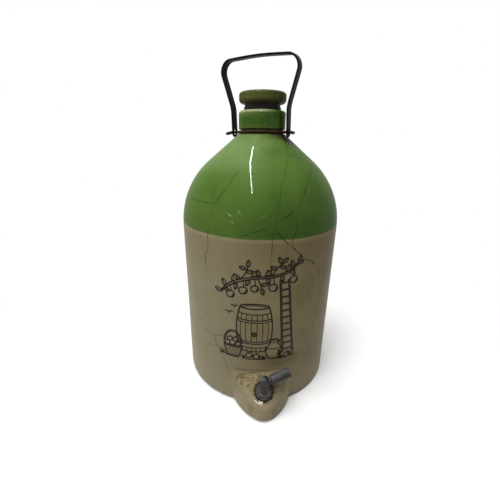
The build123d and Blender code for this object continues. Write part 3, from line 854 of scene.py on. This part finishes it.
    def jug(self, x, y, size):
        """A jug with its handle on the right, standing on x, y."""
        profile = [(5, 0), (6.4, 1.5), (8.4, 7), (8, 13), (5.2, 17.5), (4.1, 20.5), (4.3, 23.5)]
        right, left = (smooth(placed(x, y, size, [(side * a, b) for a, b in profile])) for side in (1, -1))
        self.line(right, 0.9)
        self.line(left, 0.9)
        self.line(arc(x, y, 5 * size, 1.0 * size, 180, 360), 0.9)
        self.line(arc(x, y + 23.5 * size, 4.3 * size, 0.9 * size), 0.8)
        self.line(arc(x, y + 20.6 * size, 4.1 * size, 0.8 * size, 180, 360), 0.6)
        self.line(arc(x, y + 13 * size, 8.0 * size, 1.5 * size, 180, 360), 0.7)
        for i in range(3):
            self.curve(placed(x, y, size, [(4.0 + i, 3), (5.0 + i, 6.5), (4.8 + i, 10)]), 0.5)
        self.shield(right + arc(x, y + 23.5 * size, 4.3 * size, 0.9 * size, 0, 180) + left[::-1])
        outer = smooth(placed(x, y, size, [(4.3, 21.5), (8.4, 22.5), (10.6, 19), (10.2, 14.5), (8.1, 11.5)]))
        inner = smooth(placed(x, y, size, [(4.2, 20), (7.4, 20.8), (8.9, 18.4), (8.7, 15.5), (7.9, 13.6)]))
        self.line(outer, 0.85)
        self.line(inner, 0.7)
        self.shield(outer + inner[::-1])

    def ladder(self, foot, head, wide, narrow, rungs):
        """A ladder from foot to head, wide below and narrow above."""
        foot, head = Vector(foot), Vector(head)
        rails = []
        for side in (-1, 1):
            rail = [(foot.x + side * wide / 2, foot.y), (head.x + side * narrow / 2, head.y)]
            outer = [(px + 1.4 * side, py) for px, py in rail]
            self.line(rail, 0.75)
            self.line(outer, 0.75)
            self.line([rail[1], outer[1]], 0.75)
            rails.append(rail + outer[::-1])
        for rail in rails:
            self.shield(rail)
        for i in range(rungs):
            t = (i + 0.7) / rungs
            middle = foot.lerp(head, t)
            half = (wide + (narrow - wide) * t) / 2
            for drop in (0.0, 1.2):
                left, right = middle.x - half, middle.x + half
                self.line([(left, middle.y - drop), (right, middle.y + 0.3 - drop)], 0.6)

    def grass(self, x, y, size):
        """A tuft of four blades."""
        for lean, tall in ((-0.7, 0.7), (-0.25, 1.0), (0.2, 0.85), (0.65, 0.6)):
            self.curve(placed(x, y, size, [(0.2 * lean, 0), (0.45 * lean, 0.6 * tall), (lean, tall)]), 0.65)


def orchard():
    """A generic harvest still life, drawn from front to back.

    Grass and windfalls come first, then the basket, jug, ladder, barrel, two birds and the fruiting bough.
    """
    d = Drawing()
    for x, y, size in ((-39, 1, 6), (-15.5, 0, 5), (5, 0, 5), (23.5, -0.5, 5), (34, 0.5, 7)):
        d.grass(x, y, size)
    for apple in ((-9.5, 4.6, 3.5), (-2, 3.2, 3.3), (30, 3.2, 3.3)):
        d.apple(*apple)
    d.basket(-27, 2.5, 20, 12)
    heap = ((-27, 17.5, 3.5), (-32.5, 16.5, 3.2), (-21.5, 16.5, 3.2), (-29.8, 21.5, 3.1), (-24.2, 21.8, 3.0))
    for apple in heap:
        d.apple(*apple)
    d.handle_of_basket(-27, 15.5, 10.2, 17)
    d.jug(15.5, 1.5, 0.95)
    d.ladder((30.5, 6), (23, 90), 10, 7, 11)
    d.barrel(-5, 12, 50, 14, 18)
    for x, y, size in ((-31, 52, 4.5), (-25, 60, 3.5)):
        d.curve([(x - size, y + 0.35 * size), (x - 0.45 * size, y + 0.5 * size), (x, y)], 0.8)
        d.curve([(x, y), (x + 0.45 * size, y + 0.6 * size), (x + size, y + 0.5 * size)], 0.8)
    fruit = ((-29, 73.5, 3.9), (-16.5, 79, 4.1), (-5.5, 81.5, 3.6), (12, 82.5, 4.1), (32, 89.5, 3.9))
    for apple in fruit:
        d.apple(*apple)
    leaves = (  # stalk's place, direction in degrees and size
        (-38, 75, 170, 8), (-34, 81, 115, 8), (-33, 80, -75, 7), (-26, 86.5, 80, 9), (-23, 86, -100, 7),
        (-19, 90.5, 150, 7), (-14, 98, 10, 7), (-13.5, 101, 165, 7), (-12, 103, 85, 7), (-8, 93, 60, 8),
        (-10.5, 90.5, -115, 7), (-1.5, 94, 105, 7), (1, 82, -75, 7), (0.5, 85, 15, 7), (4.5, 94.6, 50, 8),
        (7, 93, -85, 7), (10, 95, 125, 7), (15, 101, 155, 7), (17, 104, -15, 7), (20, 107, 45, 7),
        (19, 106.5, 115, 7), (19.5, 95.5, -75, 7), (24.5, 98, 70, 8), (28, 99.5, -45, 7),
        (31, 102.5, 110, 7), (35, 106, 5, 7), (36, 106.5, 70, 7),
    )
    for leaf in leaves:
        d.leaf(*leaf)
    upper = [(-39, 75.5), (-31, 84.5), (-19, 90.5), (-5, 93.6), (11, 94.8), (25, 98.8), (36, 106.5)]
    lower = [(-38.6, 74.0), (-30.2, 82.3), (-18.4, 88.3), (-5, 91.6), (11, 92.8), (26, 97.0), (36.8, 105.4)]
    d.curve(upper, 0.95)
    d.curve(lower, 0.95)
    twigs = (
        ((-18.5, 90.6), (-14, 97.5), (-12, 103)),
        ((11, 94.8), (14.5, 101.5), (20, 107)),
        ((-3, 91.8), (-0.5, 87), (1, 82.5)),
    )
    for twig in twigs:
        d.curve(twig, 0.8)
    for (x, y, size), top in zip(fruit, (82.8, 89, 91.4, 92.9, 101.5)):
        d.curve([(x + 0.25 * size, y + 1.35 * size), (x + 0.4, (y + 1.35 * size + top) / 2), (x, top)], 0.6)
    d.curve([(-42, 0.5), (-37, 1.6), (-33, 0.6), (-20, 0.4)], 0.8)
    d.curve([(-17, 0.6), (-11, -0.4), (0, -0.2), (8, 0.2)], 0.8)
    d.curve([(20, 0.2), (28, -0.2), (34, 0.8), (40, 0.4)], 0.8)
    return d


def add_print():
    """The orchard drawing, printed in brown ink on the cream glaze over the tap."""
    g = Graph("print_ink")
    worn = g.fade(g.noise(3, 4, 0.65), 0.3, 0.7)
    lines = Lines("printed_drawing", under_gloss(g, g.blend(worn, srgb(34, 26, 13), srgb(14, 10, 4))))

    def place(right, up):
        return on_jar(PRINT_MIDDLE + right / BODY_RADIUS, PRINT_FOOT + up, PRINT_LIFT)

    for width, points in orchard().strokes:
        lines.stroke(points, width * PRINT_WEIGHT, place)
    lines.finish()


# ---------------------------------------------------------------- surroundings
def add_floor():
    """A pale round floor, which runs out into the white of the world."""
    mesh = bpy.data.meshes.new("floor")
    steps = 96
    turns = [2 * pi * i / steps for i in range(steps)]
    ring = [(FLOOR_RADIUS * cos(turn), FLOOR_RADIUS * sin(turn), -FLOOR_DROP) for turn in turns]
    mesh.from_pydata(ring, [], [range(steps)])
    floor = bpy.data.objects.new("floor", mesh)
    bpy.context.scene.collection.objects.link(floor)
    g = Graph("pale_floor")
    far = g.fade(g.vector("LENGTH", g.place), FLOOR_WHITE_FROM, FLOOR_WHITE_BY)
    ray = g.add("ShaderNodeLightPath").outputs
    mirrored = g.math("MAXIMUM", ray["Is Glossy Ray"], ray["Is Transmission Ray"])
    seen = g.math("MAXIMUM", ray["Is Camera Ray"], mirrored)
    lit = g.add("ShaderNodeBsdfDiffuse", {"Color": g.blend(seen, grey(0.5), grey(1.0))})
    white = g.add("ShaderNodeEmission", {"Strength": 1.0})
    both = g.add("ShaderNodeMixShader", {0: g.times(far, seen), 1: lit.outputs[0], 2: white.outputs[0]})
    g.add("ShaderNodeOutputMaterial", {"Surface": both.outputs[0]})
    mesh.materials.append(g.material)


def add_world():
    """White where it is seen, straight or in a gloss, and a dim, even light on everything else."""
    world = bpy.data.worlds.new("world")
    world.use_nodes = True
    tree = world.node_tree
    tree.nodes.clear()
    ray = tree.nodes.new("ShaderNodeLightPath").outputs
    highest = ray["Is Camera Ray"]
    for other in ("Is Glossy Ray", "Is Transmission Ray"):
        pick = tree.nodes.new("ShaderNodeMath")
        pick.operation = "MAXIMUM"
        tree.links.new(highest, pick.inputs[0])
        tree.links.new(ray[other], pick.inputs[1])
        highest = pick.outputs[0]
    strength = tree.nodes.new("ShaderNodeMapRange")
    strength.inputs["To Min"].default_value = WORLD_LEVEL
    tree.links.new(highest, strength.inputs["Value"])
    background = tree.nodes.new("ShaderNodeBackground")
    background.inputs["Color"].default_value = (1.0, 1.0, 1.0, 1.0)
    tree.links.new(strength.outputs[0], background.inputs["Strength"])
    output = tree.nodes.new("ShaderNodeOutputWorld")
    tree.links.new(background.outputs[0], output.inputs["Surface"])
    bpy.context.scene.world = world


bpy.context.scene.view_settings.view_transform = "Standard"
add_camera()
add_world()
add_floor()
for lamp in LAMPS:
    add_lamp(*lamp)
for strip in STRIPS:
    add_strip(*strip)

add_cracks()
add_print()
FINISHES = (
    (two_tone_glaze, ("jar_body",)),
    (stopper_glaze, ("stopper",)),
    (rubber, ("stopper_ring",)),
    (rusty_wire, ("neck_wire_front", "neck_wire_back")),
    (black_strap, ("carrying_handle",)),
    (cork, ("tap_bush",)),
    (tarnished_tap, ("tap_barrel", "tap_plug", "spout_tube")),
    (leather, ("tap_washer",)),
    (dull_brass, ("plug_clip",)),
)
for finish, pieces in FINISHES:
    material = finish()
    for piece in pieces:
        give(piece, material)
